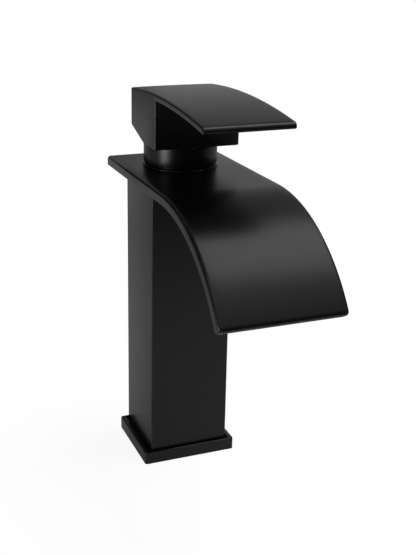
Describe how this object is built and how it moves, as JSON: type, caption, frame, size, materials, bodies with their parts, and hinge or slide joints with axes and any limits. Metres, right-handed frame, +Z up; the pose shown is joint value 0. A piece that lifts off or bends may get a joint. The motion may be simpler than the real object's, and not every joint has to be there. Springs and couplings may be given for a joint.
{
  "type": "basin mixer faucet",
  "caption": "Tall matte black basin mixer: square column, curved open waterfall spout plate and one flat arched lever on a round collar.",
  "frame": {"origin": "on the deck plane, under the axis of collar and valve", "axes": "+Z up from the deck, -Y the way the spout pours, +X to the right of someone facing the spout"},
  "size_m": [0.056, 0.1423, 0.1848],
  "materials": {
    "matte_black": "matte black powder coat, very fine grain",
    "bare_brass": "machined, satin",
    "bare_steel": "plain turned steel",
    "black_rubber": "matte",
    "cartridge_plastic": "moulded, semi matte",
    "carrier_plastic": "moulded, semi matte",
    "disc_ceramic": "lapped, satin",
    "black_plastic": "matte, to match the coat"
  },
  "bodies": {
    "faucet_body": {"base_flange": "matte_black", "base_gasket": "black_rubber", "column_casing": "matte_black", "stud_bar": "bare_brass", "valve_body": "bare_brass", "spout_shell": "matte_black", "spout_floor": "matte_black", "collar_seat_ring": "matte_black", "collar_o_ring": "black_rubber", "collar": "matte_black", "cartridge_base": "cartridge_plastic", "port_seals": "black_rubber", "fixed_disc": "disc_ceramic", "cartridge_housing": "cartridge_plastic", "cartridge_nut": "bare_brass"},
    "swivel": {"swivel_carrier": "carrier_plastic", "pivot_pin": "bare_steel"},
    "disc": {"moving_disc": "disc_ceramic", "disc_driver": "carrier_plastic"},
    "lever": {"lever_stem": "bare_brass", "lever_handle": "matte_black", "grub_screw": "bare_steel", "index_plug": "black_plastic"}
  },
  "joints": [
    {"name": "temperature_turn", "type": "hinge", "parent": "faucet_body", "child": "swivel", "pos_m": [0, 0, 0.1471], "axis": [0, 0, 1], "range_deg": [-45, 45]},
    {"name": "lever_lift", "type": "hinge", "parent": "swivel", "child": "lever", "pos_m": [0, 0, 0.1471], "axis": [-1, 0, 0], "range_deg": [0, 22]},
    {"name": "disc_slide", "type": "slide", "parent": "swivel", "child": "disc", "axis": [0, -1, 0], "range_m": [0, 0.003]}
  ],
  "couplings": [
    {"joint": "disc_slide", "follows": "lever_lift", "m_per_rad": 0.0076}
  ]
}
